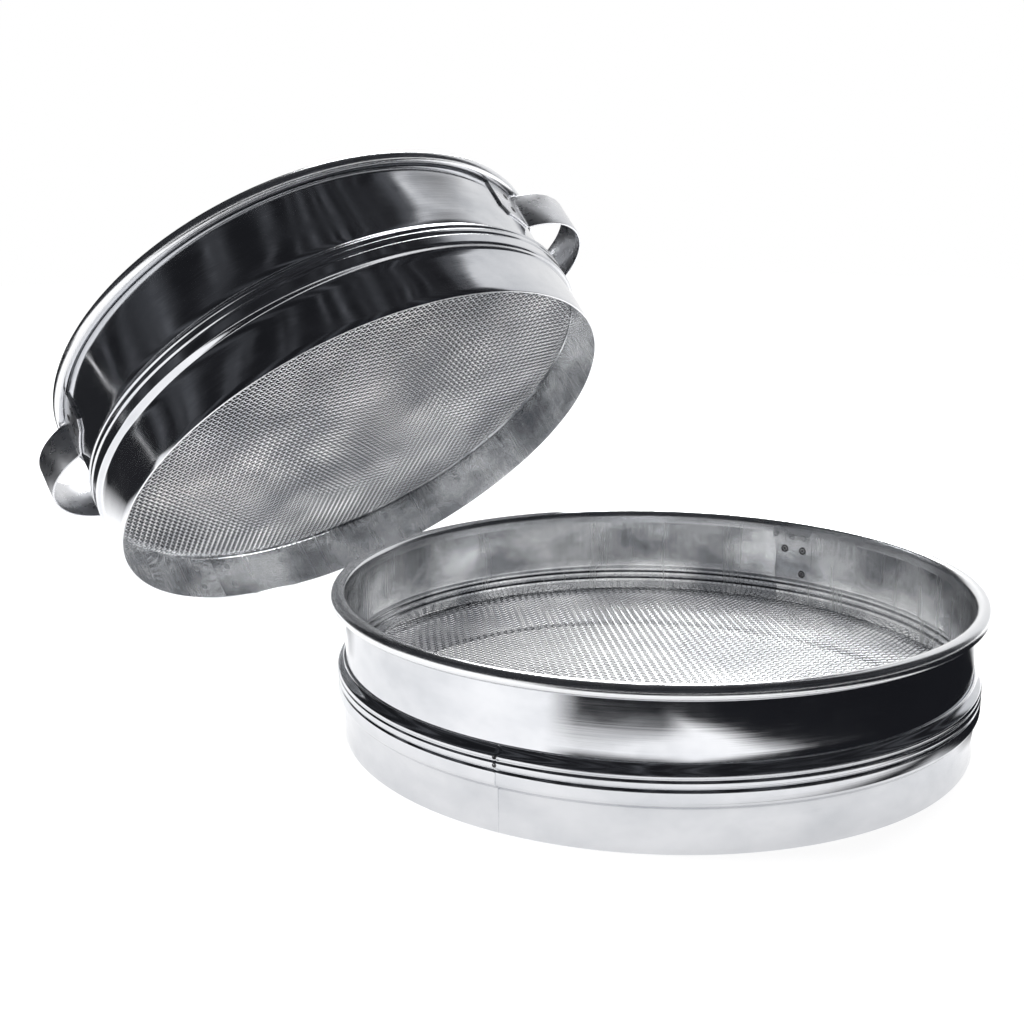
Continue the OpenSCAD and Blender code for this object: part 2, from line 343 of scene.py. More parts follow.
def bare_steel(tree, tint, rough, more=None):
    """Fully metallic, with the default index of refraction."""
    show(tree, add(tree, "ShaderNodeBsdfPrincipled",
                   {"Base Color": tint, "Metallic": 1.0, "Roughness": rough, **(more or {})}))


# %% Patterns
def strip_noise(tree, across_mm, along_mm, detail=2, seed=0.0):
    """Noise on the flat strip, with its grains' size along the hoop and across it."""
    uv = add(tree, "ShaderNodeUVMap", uv_map="strip").outputs["UV"]
    scale = (1 / (across_mm * MM), 1 / (along_mm * MM), 1)
    grain = add(tree, "ShaderNodeMapping", {"Vector": uv, "Scale": scale,
                                            "Location": (seed, seed * 1.7, seed * 0.3)})
    return add(tree, "ShaderNodeTexNoise", {"Vector": grain.outputs["Vector"], "Scale": 1.0,
                                            "Detail": detail, "Roughness": 0.55}).outputs["Fac"]


def object_noise(tree, size_mm, detail):
    """Noise through the object's own space, with the size of its patches."""
    where = add(tree, "ShaderNodeTexCoord").outputs["Object"]
    return add(tree, "ShaderNodeTexNoise", {"Vector": where, "Scale": 1 / (size_mm * MM),
                                            "Detail": detail}).outputs["Fac"]


def bumped(tree, height, strength, distance_mm):
    return add(tree, "ShaderNodeBump", {"Height": height, "Strength": strength,
                                        "Distance": distance_mm * MM}).outputs["Normal"]


def ramp(tree, value, low, high, to_low, to_high):
    """Carries a value from one range into another, and holds it there."""
    return add(tree, "ShaderNodeMapRange", {"Value": value, "From Min": low, "From Max": high,
                                            "To Min": to_low, "To Max": to_high}).outputs["Result"]


def mixed(tree, factor, low, high):
    """A colour between two, each given as a hex colour or as another node's output."""
    low, high = [linear(c) if isinstance(c, str) else c for c in (low, high)]
    return add(tree, "ShaderNodeMix", {0: factor, 6: low, 7: high}, data_type="RGBA").outputs[2]


def summed(tree, a, b, share):
    """a + share * b"""
    return add(tree, "ShaderNodeMath", {0: b, 1: share, 2: a}, operation="MULTIPLY_ADD").outputs[0]


# %% [markdown]
# ### Buffed sheet
# The outside of the hoops is cold-rolled sheet that was buffed on a wheel: a mirror with
# hair-fine lines that run round it, and cloudy patches left by handling. A picture of
# scratches would do too, but noise stretched along the flat strip never repeats.

# %% Buffed sheet, the outside of the hoops
def buffed_sheet():
    """Its lines are drawn 0.6 mm apart, coarser than real ones, so that they show."""
    material, tree = new_material("buffed_stainless_sheet")
    lines = strip_noise(tree, 90, 0.6, 3)
    broad = strip_noise(tree, 60, 2.5, 2, 3.1)
    clouds = strip_noise(tree, 26, 17, 4, 7.7)
    rough = ramp(tree, summed(tree, clouds, lines, 0.35), 0.5, 0.95, 0.06, 0.2)
    tint = mixed(tree, ramp(tree, clouds, 0.35, 0.7, 0, 1), "#D8D9DC", "#C9CBCF")
    bump = bumped(tree, summed(tree, lines, broad, 1.5), 0.12, 0.03)
    bare_steel(tree, tint, rough, {"Normal": bump})
    return material


# %% [markdown]
# ### Satin sheet
# Nobody buffs the inside, so it stays as the mill left it: satin, with streaks that run
# up the wall, and grey places where honey and washing dulled it. The streaks smear what
# the wall mirrors, and the shader's anisotropy does the same along the strip.

# %% Satin sheet, the inside of the hoops
def satin_sheet():
    """Its streaks are drawn 1.2 mm apart, coarser than real ones, so that they show."""
    material, tree = new_material("satin_stainless_sheet")
    streaks = strip_noise(tree, 1.2, 40, 3, 1.3)
    wide = strip_noise(tree, 7, 60, 2, 5.9)
    clouds = strip_noise(tree, 45, 30, 4, 3.7)
    rough = ramp(tree, summed(tree, wide, streaks, 0.8), 0.6, 1.2, 0.06, 0.32)
    tint = mixed(tree, ramp(tree, clouds, 0.4, 0.62, 0, 1), "#F4F5F6", "#9C9EA2")
    bump = bumped(tree, summed(tree, wide, streaks, 0.6), 0.1, 0.04)
    along = add(tree, "ShaderNodeTangent", direction_type="UV_MAP", uv_map="strip")
    bare_steel(tree, tint, rough, {"Anisotropic": 0.75, "Anisotropic Rotation": 0.25,
                                   "Tangent": along.outputs[0], "Normal": bump})
    return material


# %% [markdown]
# ### Rubbed sheet
# The curling tool and many hands have rubbed the rim and the straps. They shine, but more
# softly than a mirror, so one colour with an uneven roughness is enough.

# %% Rubbed sheet, the roll round the rim wire and the straps
def rubbed_sheet(name, rough_low, rough_high, code):
    """Its rub marks are some 6 mm long."""
    material, tree = new_material(name)
    rubs = strip_noise(tree, 6, 2, 2, 2.3)
    bare_steel(tree, linear(code), ramp(tree, rubs, 0.35, 0.65, rough_low, rough_high))
    return material


# %% [markdown]
# ### Wire and welds
# Wire is bright from the drawing die, with dull patches where honey and washing left a
# film. A weld is dull and stained by its heat, or pale where it was brushed clean. These
# pieces have no flat strip, so their patterns run through the object's own space.

# %% Wire and weld
def drawn_wire(name, rough_low, rough_high, light, dark):
    """The film's patches are some 40 mm across, far wider than a wire."""
    material, tree = new_material(name)
    film = object_noise(tree, 40, 3.0)
    tint = mixed(tree, ramp(tree, film, 0.3, 0.7, 0, 1), light, dark)
    bare_steel(tree, tint, ramp(tree, film, 0.35, 0.65, rough_low, rough_high))
    return material


def heated_weld(name, pale, dark):
    """Its spots are 1.5 mm wide."""
    material, tree = new_material(name)
    stain = object_noise(tree, 1.5, 4.0)
    tint = mixed(tree, ramp(tree, stain, 0.3, 0.7, 0, 1), pale, dark)
    bare_steel(tree, tint, 0.45, {"Normal": bumped(tree, stain, 0.5, 0.1)})
    return material


BUFFED = buffed_sheet()
SATIN = satin_sheet()
ROLLED = rubbed_sheet("burnished_rolled_rim", 0.2, 0.26, "#E6E7E9")
STRAP = rubbed_sheet("rubbed_strap_sheet", 0.26, 0.34, "#D8D9DC")
CLOTH_WIRE = drawn_wire("drawn_cloth_wire", 0.1, 0.22, "#F0F1F2", "#BDBFC3")
RIM_WIRE = drawn_wire("drawn_rim_wire", 0.25, 0.4, "#B4B6BA", "#96989C")
WELD = heated_weld("heat_stained_weld", "#7C7B7C", "#3E3D40")
CLEAN_WELD = heated_weld("brushed_clean_weld", "#CFD0D3", "#B4B6B9")
STEELS = (BUFFED, SATIN, ROLLED, STRAP, CLOTH_WIRE, RIM_WIRE, WELD, CLEAN_WELD)
print("materials:", [material.name for material in STEELS])

# %% [markdown]
# ## The four hoops
# Each sieve has a drum inside and a collar outside. The new skins replace the CAD solids
# one for one, on the same formulas, and each rides on the body of the sieve it belongs to.

# %% Make the hoops
BODY = {"lower": "lower_sieve", "upper": "upper_sieve"}
HOOP_STEELS = (BUFFED, SATIN, ROLLED)
DRUM_SEED, COLLAR_SEED = 11, 21
DRUM_SKIN = {}


def settle(obj, sieve, slot, *nodes):
    """Puts a piece's mesh in place, lets it ride with its sieve and stand for its nodes."""
    obj.data.transform(PLACE[sieve])
    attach(obj, BODY[sieve])
    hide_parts(*nodes)
    return obj


for index, (sieve, size) in enumerate((("lower", LOWER), ("upper", UPPER))):
    height, mesh_z = size["height"], size["mesh_z"]
    drum = turned_hoop(f"{sieve}_drum_skin", drum_profile(height, mesh_z), size["drum_lap"],
                       360 - LAP_TURN - LINE_TURN, (mesh_z + BEAD_H, height - ROLL_R),
                       DRUM_SEED + index, HOOP_STEELS)
    DRUM_SKIN[sieve] = settle(drum, sieve, "drum_sheet", f"{sieve}_drum")
    spigot_top = mesh_z + DRUM_EDGE - SHOULDER_H
    collar = turned_hoop(f"{sieve}_collar_skin", collar_profile(mesh_z), size["collar_lap"],
                         LINE_TURN, (0, spigot_top - SHEET), COLLAR_SEED + index, HOOP_STEELS)
    settle(collar, sieve, "collar_sheet", f"{sieve}_collar")
    rim_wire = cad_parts[f"{sieve}_rim_wire"].data
    rim_wire.materials.clear()
    rim_wire.materials.append(RIM_WIRE)
    print(sieve, "faces:", len(drum.data.polygons), len(collar.data.polygons))

# %% [markdown]
# ## Geometry Nodes: a tree built in code
# Wires and weld marks repeat, so a node tree makes each kind. The tree is a recipe with
# named inputs, and the helper below bakes its result into one plain mesh, because only a
# plain mesh can be exported and can ride on a body.

# %% Start a tree
def new_tree(name, inputs):
    """A geometry tree with float inputs, a material input and its ready output."""
    tree = bpy.data.node_groups.new(name, "GeometryNodeTree")
    tree.interface.new_socket("Geometry", in_out="INPUT", socket_type="NodeSocketGeometry")
    for label in inputs:
        tree.interface.new_socket(label, in_out="INPUT", socket_type="NodeSocketFloat")
    tree.interface.new_socket("Material", in_out="INPUT", socket_type="NodeSocketMaterial")
    tree.interface.new_socket("Geometry", in_out="OUTPUT", socket_type="NodeSocketGeometry")
    return tree, add(tree, "NodeGroupInput").outputs


def finish_tree(tree, geometry, material):
    """Ends a tree: real geometry, smooth, with its material."""
    real = add(tree, "GeometryNodeRealizeInstances", {"Geometry": geometry})
    smooth = add(tree, "GeometryNodeSetShadeSmooth", {"Geometry": real.outputs[0]})
    done = add(tree, "GeometryNodeSetMaterial",
               {"Geometry": smooth.outputs[0], "Material": material})
    add(tree, "NodeGroupOutput", {"Geometry": done.outputs[0]})


def compute(tree, operation, a, b=0.0):
    return add(tree, "ShaderNodeMath", {0: a, 1: b}, operation=operation).outputs[0]


def separate(tree, vector):
    return add(tree, "ShaderNodeSeparateXYZ", {"Vector": vector}).outputs


def more_than(tree, a, b):
    return add(tree, "FunctionNodeCompare", {"A": a, "B": b}, data_type="FLOAT",
               operation="GREATER_THAN").outputs["Result"]


# %% Bake a tree into a piece
def baked(name, tree, values, material, base=None):
    """Runs the tree on a base mesh and keeps its result as a plain mesh."""
    base = base or bpy.data.meshes.new(name + "_base")
    holder = link(bpy.data.objects.new(name + "_holder", base))
    modifier = holder.modifiers.new("nodes", "NODES")
    modifier.node_group = tree
    sockets = {i.name: i.identifier for i in tree.interface.items_tree if i.in_out == "INPUT"}
    for label, value in values.items():
        modifier[sockets[label]] = value
    modifier[sockets["Material"]] = material
    graph = bpy.context.evaluated_depsgraph_get()
    mesh = bpy.data.meshes.new_from_object(holder.evaluated_get(graph))
    mesh.name = name
    bpy.data.objects.remove(holder)
    return link(bpy.data.objects.new(name, mesh))


# %% [markdown]
# ## Woven wire cloth
# Plain weave is the oldest weave: each wire goes over one and under the next. At a pitch
# of 2.2 mm there are about a hundred wires each way. A texture could fake them, but light
# falls through real cloth and every wire throws its own highlight, so each wire is made.
# The tree starts from a grid, drops its cross lines, trims it to a disc, lets the lines
# wave up and down, and gives them a square section, which smooth shading makes round.
# The upper cloth has thicker wires than the lower one. Where the bead grips a cloth, its
# waves are pressed flat.

# %% The weaving tree
PRESSED_W = 4.0
PRESSED_SHARE = 0.2


def weaving_tree():
    tree, given = new_tree("plain_weave",
                           ("Disc Radius", "Pitch", "Wire Diameter", "Rise", "Turn"))
    radius, pitch = given["Disc Radius"], given["Pitch"]
    wires = compute(tree, "FLOOR", compute(tree, "DIVIDE", radius, pitch))
    steps = compute(tree, "MULTIPLY", wires, 2.0)
    width = compute(tree, "MULTIPLY", steps, pitch)
    grid = add(tree, "GeometryNodeMeshGrid",
               {"Size X": width, "Size Y": width,
                "Vertices X": compute(tree, "ADD", compute(tree, "MULTIPLY", steps, 2.0), 1.0),
                "Vertices Y": compute(tree, "ADD", steps, 1.0)})
    ends = add(tree, "GeometryNodeInputMeshEdgeVertices").outputs
    y1, y2 = [separate(tree, ends[f"Position {end}"])["Y"] for end in (1, 2)]
    apart = compute(tree, "ABSOLUTE", compute(tree, "SUBTRACT", y1, y2))
    across = more_than(tree, apart, compute(tree, "DIVIDE", pitch, 2.0))
    lines = add(tree, "GeometryNodeDeleteGeometry",
                {"Geometry": grid.outputs["Mesh"], "Selection": across},
                domain="EDGE", mode="EDGE_FACE")
    place = add(tree, "GeometryNodeInputPosition").outputs["Position"]
    reach = add(tree, "ShaderNodeVectorMath", {0: place}, operation="LENGTH").outputs["Value"]
    disc = add(tree, "GeometryNodeDeleteGeometry",
               {"Geometry": lines.outputs[0], "Selection": more_than(tree, reach, radius)},
               domain="POINT", mode="ALL")
    xyz = separate(tree, place)
    phase = compute(tree, "DIVIDE", compute(tree, "ADD", xyz["X"], xyz["Y"]), pitch)
    wave = compute(tree, "COSINE", compute(tree, "MULTIPLY", phase, pi))
    pressed = ramp(tree, compute(tree, "SUBTRACT", radius, reach), 0, PRESSED_W * MM,
                   PRESSED_SHARE, 1)
    rise = compute(tree, "MULTIPLY", given["Rise"], pressed)
    lift = add(tree, "ShaderNodeCombineXYZ",
               {"Z": compute(tree, "MULTIPLY", wave, rise)}).outputs["Vector"]
    waved = add(tree, "GeometryNodeSetPosition", {"Geometry": disc.outputs[0], "Offset": lift})
    wire = add(tree, "GeometryNodeMeshToCurve", {"Mesh": waved.outputs[0]})
    upright = add(tree, "GeometryNodeSetCurveNormal", {"Curve": wire.outputs[0]})
    thick = compute(tree, "DIVIDE", given["Wire Diameter"], 2.0)
    section = add(tree, "GeometryNodeCurvePrimitiveCircle", {"Resolution": 4, "Radius": thick})
    tube = add(tree, "GeometryNodeCurveToMesh",
               {"Curve": upright.outputs[0], "Profile Curve": section.outputs[0],
                "Fill Caps": True})
    turn = add(tree, "ShaderNodeCombineXYZ", {"Z": given["Turn"]}).outputs["Vector"]
    turned = add(tree, "GeometryNodeTransform", {"Geometry": tube.outputs[0], "Rotation": turn})
    finish_tree(tree, turned.outputs[0], given["Material"])
    return tree


# %% Weave the two discs
PITCH = 2.2                     # coarser than a real cloth's, so that the weave shows
CLOTH_WIRE_D = {"lower": 0.45, "upper": 0.7}
CLOTH_R = collar_radius(-MESH_T / 2) - SHEET - MESH_GAP
WEAVE_TURN = {"lower": 8, "upper": 35}
WEAVE = weaving_tree()
print("weaving tree's nodes:", len(WEAVE.nodes), "cloth radius:", round(CLOTH_R, 1), "mm")

for sieve, size in (("lower", LOWER), ("upper", UPPER)):
    for way, quarter, side in (("warp", 0, 1), ("weft", 90, -1)):
        wire = CLOTH_WIRE_D[sieve]
        values = {"Disc Radius": (CLOTH_R - wire) * MM, "Pitch": PITCH * MM,
                  "Wire Diameter": wire * MM, "Rise": side * wire / 2 * MM,
                  "Turn": radians(WEAVE_TURN[sieve] + quarter)}
        cloth = baked(f"{sieve}_cloth_{way}", WEAVE, values, CLOTH_WIRE)
        cloth.data.transform(Matrix.Translation((0, 0, size["mesh_z"] * MM)))
        settle(cloth, sieve, "woven_mesh", f"{sieve}_mesh")
        print(cloth.name, "triangles:", 2 * len(cloth.data.polygons))

# %% [markdown]
# ## Strap handles
# A handle is one strip of 1 mm sheet: a round bow with a foot at each end, welded to the
# drum. The path in plan is three arcs with two tight bends. The strip could be a curve
# with a bevel object, but its feet have clipped lower corners, so the section is swept in
# code, and its lower edge rises towards each end.

# %% The strap's path
BEND = 1.6
EDGE_R = 0.35
FOOT_POINTS, BEND_POINTS, BOW_POINTS = 18, 8, 32
foot_in = DRUM_R + PRESS_GAP
foot_mid = foot_in + STRAP_T / 2
foot_out = foot_in + STRAP_T
bow_c = DRUM_R + BOW_REACH - BOW_R
bow_mid = BOW_R - STRAP_T / 2
bow_from = acos((foot_out ** 2 + bow_c ** 2 - BOW_R ** 2) / (2 * foot_out * bow_c))
foot_turn = FOOT_LENGTH / foot_out
crease = acos((foot_mid ** 2 + bow_c ** 2 - bow_mid ** 2) / (2 * foot_mid * bow_c))


def half_path():
    """From the tip of one foot, over the crease, to the top of the bow."""
    corner = np.array([foot_mid * cos(crease), foot_mid * sin(crease)])
    bow_end = atan2(corner[1], corner[0] - bow_c)
    foot = [(foot_mid * cos(a), foot_mid * sin(a))
            for a in np.linspace(bow_from + foot_turn, crease + BEND / foot_mid, FOOT_POINTS)]
    bow = [(bow_c + bow_mid * cos(a), bow_mid * sin(a))
           for a in np.linspace(bow_end - BEND / bow_mid, 0, BOW_POINTS)]
    bend = []
    for t in np.linspace(0, 1, BEND_POINTS)[1:-1]:
        bend.append((1 - t) ** 2 * np.array(foot[-1]) + 2 * t * (1 - t) * corner
                    + t ** 2 * np.array(bow[0]))
    return np.array(foot + [tuple(p) for p in bend] + bow)


half = half_path()
STRAP_PATH = np.concatenate([half, half[-2::-1] * (1, -1)])
print(f"strap: {len(STRAP_PATH)} points, bow top {bow_c + BOW_R - DRUM_R:.1f} mm off the drum")

# %% Sweep the strap
strap_top = UPPER["height"] - 2 * ROLL_R - STRAP_DROP


def section_points(low, high):
    """A rounded rectangle as (across, height) points."""
    corners = ((1, high, 0), (-1, high, 90), (-1, low, 180), (1, low, 270))
    points = []
    for side, z, start in corners:
        centre = (side * (STRAP_T / 2 - EDGE_R), z - EDGE_R if z == high else z + EDGE_R)
        for a in np.radians(np.linspace(start, start + 90, 4)):
            points.append((centre[0] + EDGE_R * cos(a), centre[1] + EDGE_R * sin(a)))
    return points


def strap(name):
    tangent = np.gradient(STRAP_PATH, axis=0)
    tangent /= np.linalg.norm(tangent, axis=1)[:, None]
    normal = np.stack([tangent[:, 1], -tangent[:, 0]], axis=1)
    gone = np.append(0, np.cumsum(np.linalg.norm(np.diff(STRAP_PATH, axis=0), axis=1)))
    points, uvs = [], []
    for place, out, s in zip(STRAP_PATH, normal, gone):
        clip = max(0, FOOT_CLIP - min(s, gone[-1] - s))
        for across, z in section_points(strap_top - STRAP_W + clip, strap_top):
            points.append((*(place + across * out) * MM, z * MM))
            uvs.append((s * MM, z * MM))
    return swept(name, points, uvs, len(STRAP_PATH))


def swept(name, points, uvs, stations):
    """Quads along the sections, and a cap at each end."""
    size = len(points) // stations
    faces = [(i * size + k, i * size + (k + 1) % size, (i + 1) * size + (k + 1) % size,
              (i + 1) * size + k) for i in range(stations - 1) for k in range(size)]
    faces.append(tuple(reversed(range(size))))
    faces.append(tuple(range((stations - 1) * size, stations * size)))
    mesh = bpy.data.meshes.new(name)
    mesh.from_pydata(points, [], faces)
    layer = mesh.uv_layers.new(name="strip")
    corner_points = np.zeros(len(mesh.loops), int)
    mesh.loops.foreach_get("vertex_index", corner_points)
    layer.data.foreach_set("uv", np.array(uvs)[corner_points].ravel())
    facing_out(mesh)
    mesh.materials.append(STRAP)
    mesh.shade_smooth()
    mesh.set_sharp_from_angle(angle=SHARP)
    return link(bpy.data.objects.new(name, mesh))


def facing_out(mesh):
    """Turns all faces outwards."""
    bm = bmesh.new()
    bm.from_mesh(mesh)
    bmesh.ops.recalc_face_normals(bm, faces=bm.faces)
    bm.to_mesh(mesh)
    bm.free()


for side, turn in HANDLE_TURNS.items():
    piece = strap(f"{side}_handle_strap")
    piece.data.transform(Matrix.Rotation(radians(turn), 4, "Z"))
    settle(piece, "upper", "handle_strap", f"{side}_handle")
    print(piece.name, "faces:", len(piece.data.polygons))

# %% [markdown]
# ## Spot welds
# Two electrodes squeeze the sheets and a current melts them together between the tips.
# What stays outside is a ring with a small crown in it, stained by the heat. Each mark is
# set on a point, with its face turned away from the wall, by a node tree.

# %% The weld tree
RING_SHARE, BULGE_SHARE, CROWN_SHARE = 0.38, 0.12, 0.2


def weld_tree():
    tree, given = new_tree("spot_welds", ("Diameter", "Height"))
    size, height = given["Diameter"], given["Height"]
    ring_r, bulge_r, crown_r = [compute(tree, "MULTIPLY", size, share)
                                for share in (RING_SHARE, BULGE_SHARE, CROWN_SHARE)]
    rim = add(tree, "GeometryNodeCurvePrimitiveCircle", {"Resolution": 20, "Radius": ring_r})
    bulge = add(tree, "GeometryNodeCurvePrimitiveCircle", {"Resolution": 8, "Radius": bulge_r})
    ring = add(tree, "GeometryNodeCurveToMesh",
               {"Curve": rim.outputs[0], "Profile Curve": bulge.outputs[0]})
    crown = add(tree, "GeometryNodeMeshUVSphere",
                {"Segments": 16, "Rings": 8, "Radius": crown_r})
    mark = add(tree, "GeometryNodeJoinGeometry")
    tree.links.new(ring.outputs[0], mark.inputs[0])
    tree.links.new(crown.outputs[0], mark.inputs[0])
    flat = compute(tree, "DIVIDE", height, crown_r)
    squash = add(tree, "ShaderNodeCombineXYZ", {"X": 1.0, "Y": 1.0, "Z": flat}).outputs["Vector"]
    flattened = add(tree, "GeometryNodeTransform", {"Geometry": mark.outputs[0],
                                                    "Scale": squash})
    facing = add(tree, "GeometryNodeInputNamedAttribute", {"Name": "facing"},
                 data_type="FLOAT_VECTOR")
    aim = add(tree, "FunctionNodeAlignRotationToVector", {"Vector": facing.outputs[0]}, axis="Z")
    marks = add(tree, "GeometryNodeInstanceOnPoints",
                {"Points": given["Geometry"], "Instance": flattened.outputs[0],
                 "Rotation": aim.outputs[0]})
    finish_tree(tree, marks.outputs[0], given["Material"])
    return tree


WELD_TREE = weld_tree()
print("weld tree's nodes:", len(WELD_TREE.nodes))

# %% Where the welds are
WELD_D = 3.6
WELD_H = 0.3
SEAM_WELD_D = 1.6
COLLAR_WELD_ROWS = (0.3, 0.8)
FOOT_WELD_ROWS = (0.3, 0.72)


def weld_piece(name, marks, diameter, sieve, node, steel=WELD):
    """marks are (radius, direction in degrees, height, +1 facing out or -1 facing in)."""
    base = bpy.data.meshes.new(name + "_points")
    places, facings = [], []
    for r, a, z, side in marks:
        away = Vector((cos(radians(a)), sin(radians(a)), 0))
        places.append((away * r + Vector((0, 0, z))) * MM)
        facings.append(away * side)
    base.from_pydata(places, [], [])
    base.attributes.new("facing", "FLOAT_VECTOR", "POINT").data.foreach_set(
        "vector", np.array(facings, dtype=np.float32).ravel())
    piece = baked(name, WELD_TREE, {"Diameter": diameter * MM, "Height": WELD_H * MM}, steel, base)
    settle(piece, sieve, "spot_weld", node)
    print(name, "marks:", len(marks))


for sieve, size in (("lower", LOWER), ("upper", UPPER)):
    lap, mesh_z = size["drum_lap"], size["mesh_z"]
    wall = DRUM_R - SHEET - LAP_STEP
    low = mesh_z + BEAD_H + SHEET + WELD_D / 2
    high = size["height"] - 2 * ROLL_R - 2 * WELD_D
    weld_piece(f"{sieve}_drum_weld_marks",
               [(wall, lap - LAP_TURN / 4, high, -1), (wall, lap - LAP_TURN * 3 / 4, high, -1),
                (wall, lap - LAP_TURN * 3 / 4, low, -1)], WELD_D, sieve, f"{sieve}_drum_welds")
    inside = SPIGOT_R - SHEET
    top = mesh_z + DRUM_EDGE - SHOULDER_H - SHEET
    marks = []
    for share in COLLAR_WELD_ROWS:
        marks.append((inside - LAP_STEP, size["collar_lap"] - LAP_TURN / 2, share * top, -1))
        marks.append((inside, lap - LAP_TURN / 2, share * top, -1))
    weld_piece(f"{sieve}_collar_weld_marks", marks, WELD_D, sieve, f"{sieve}_collar_welds",
               CLEAN_WELD if sieve == "upper" else WELD)
    seam = [(collar_radius(z), size["collar_lap"], mesh_z + z, 1)
            for z in (BEAD_H - FLARE_H, sum(GROOVES) / 2)]
    weld_piece(f"{sieve}_seam_weld_marks", seam, SEAM_WELD_D, sieve, f"{sieve}_collar_welds")

foot_middle = degrees(bow_from + foot_turn / 2)
for side, turn in HANDLE_TURNS.items():
    marks = [(foot_out, turn + way * foot_middle, strap_top - STRAP_W * share, 1)
             for way in (-1, 1) for share in FOOT_WELD_ROWS]
    weld_piece(f"{side}_handle_weld_marks", marks, WELD_D, "upper", f"{side}_handle_welds")

# %% [markdown]
# ## The studio
# Polished steel has almost no look of its own: it shows the room. So the room is built
# with care, and it begins with white paper on the floor and a white world. Both shine in
# full only for the camera and for mirrors, so the background is white but the paper still
# takes a shadow.

# %% Floor and world
def light_share(tree):
    """1 for camera, mirror and glass rays, which see the plain white background."""
    path = add(tree, "ShaderNodeLightPath").outputs
    seen = compute(tree, "MAXIMUM", path["Is Camera Ray"], path["Is Glossy Ray"])
    return compute(tree, "MAXIMUM", seen, path["Is Transmission Ray"])


def net(rows, columns):
    """Faces of a grid of points that lie row by row."""
    return [(k, k + columns, k + columns + 1, k + 1)
            for i in range(rows - 1) for k in range(i * columns, (i + 1) * columns - 1)]


def studio_piece(name, points, faces, material, unseen=(), parent=None):
    """A piece of the room, not of the object. The kinds of ray in unseen pass it by."""
    mesh = bpy.data.meshes.new(name)
    mesh.from_pydata(points, [], faces)
    mesh.materials.append(material)
    mesh.shade_smooth()
    obj = link(bpy.data.objects.new(name, mesh))
    obj.parent = parent
    for ray in unseen:
        setattr(obj, "visible_" + ray, False)
    print("studio:", name, "hidden from:", unseen)


FLOOR_HALF = 4.0
FLOOR_GLOW = 1.6
FLOOR_GLOW_SHARE = 0.5
WORLD_LIGHT = 0.55


def paper_floor():
    """Matt white paper: it takes a soft shadow and is otherwise as white as the world."""
    material, tree = new_material("matt_white_paper")
    paper = add(tree, "ShaderNodeBsdfDiffuse", {"Color": linear("#F0F0F1")})
    glow = add(tree, "ShaderNodeEmission", {"Color": linear("#FFFFFF"), "Strength": FLOOR_GLOW})
    share = compute(tree, "MULTIPLY", light_share(tree), FLOOR_GLOW_SHARE)
    show(tree, add(tree, "ShaderNodeMixShader",
                   {0: share, 1: paper.outputs[0], 2: glow.outputs[0]}))
    ends = (-FLOOR_HALF, FLOOR_HALF)
    studio_piece("floor", [(x, y, 0) for x in ends for y in ends], net(2, 2), material)


def white_world():
    world = bpy.data.worlds.new("white_studio")
    bpy.context.scene.world = world
    world.use_nodes = True
    tree = world.node_tree
    tree.nodes.clear()
    strength = ramp(tree, light_share(tree), 0, 1, WORLD_LIGHT, 1.0)
    white = add(tree, "ShaderNodeBackground", {"Color": linear("#FFFFFF"), "Strength": strength})
    add(tree, "ShaderNodeOutputWorld", {"Surface": white.outputs[0]})


paper_floor()
white_world()

# %% [markdown]
# ## The room in the steel
# A photographer hangs black cloth where the steel should be dark. Here a dark dome stands
# over the scene, with a pale wall on one side, and dark cloths lie on the floor. Only
# mirrors see them, so they cast no shadow and the background stays white. Their edges are
# soft, and faint shapes on them give the steel something to bend.

# %% Flags that only mirrors see
def flag_cloth(name, cover, colour, strength=1.0):
    """Studio cloth, with the little light that it sends back as its own glow. Its cover
    (0 to 1) and its colour depend on the place and on the direction from the middle."""
    material, tree = new_material(name)
    where = add(tree, "ShaderNodeTexCoord").outputs["Object"]
    place = separate(tree, where)
    turn = compute(tree, "ARCTAN2", place["Y"], place["X"])
    glow = add(tree, "ShaderNodeEmission",
               {"Color": colour(tree, place, turn), "Strength": strength})
    clear = add(tree, "ShaderNodeBsdfTransparent")
    show(tree, add(tree, "ShaderNodeMixShader", {0: cover(tree, place, turn),
                                                 1: clear.outputs[0], 2: glow.outputs[0]}))
    return material


def only_mirrored(name, points, faces, material):
    """The camera, shadows and matt surfaces don't see it."""
    studio_piece(name, points, faces, material,
                 ("camera", "diffuse", "transmission", "volume_scatter", "shadow"))


def plain(code):
    """One colour everywhere."""
    return lambda tree, place, turn: linear(code)


def window(tree, value, low, high, soft):
    """1 between two values, with soft ends."""
    return compute(tree, "MULTIPLY", ramp(tree, value, low - soft, low + soft, 0, 1),
                   ramp(tree, value, high - soft, high + soft, 1, 0))


# %% The dark dome, with a pale side
DOME_R = 3.0
PALE_FROM, PALE_TO = 76, 152    # the pale wall's ends, in degrees round the scene
PALE_LOW_FROM = 115             # from here on its top edge is low
PALE_HIGH, PALE_LOW = 0.95, 0.52
WHITER = (80, 112)              # between these the wall turns from pale to white
DOME_TURNS = np.radians(np.linspace(-180, 180, 73))
DOME_RISES = np.radians(np.linspace(0.5, 89, 23))


def room_shapes(tree, place, turn):
    """Dark, with a room's paler upright shapes, each some 8 degrees wide."""
    where = add(tree, "ShaderNodeCombineXYZ",
                {"X": compute(tree, "MULTIPLY", turn, 1 / radians(8)),
                 "Y": compute(tree, "MULTIPLY", place["Z"], 0.5)}).outputs["Vector"]
    shapes = add(tree, "ShaderNodeTexNoise", {"Vector": where, "Scale": 1.0, "Detail": 3.0})
    return mixed(tree, ramp(tree, shapes.outputs["Fac"], 0.5, 0.72, 0, 1), "#1F2023", "#6C6E73")


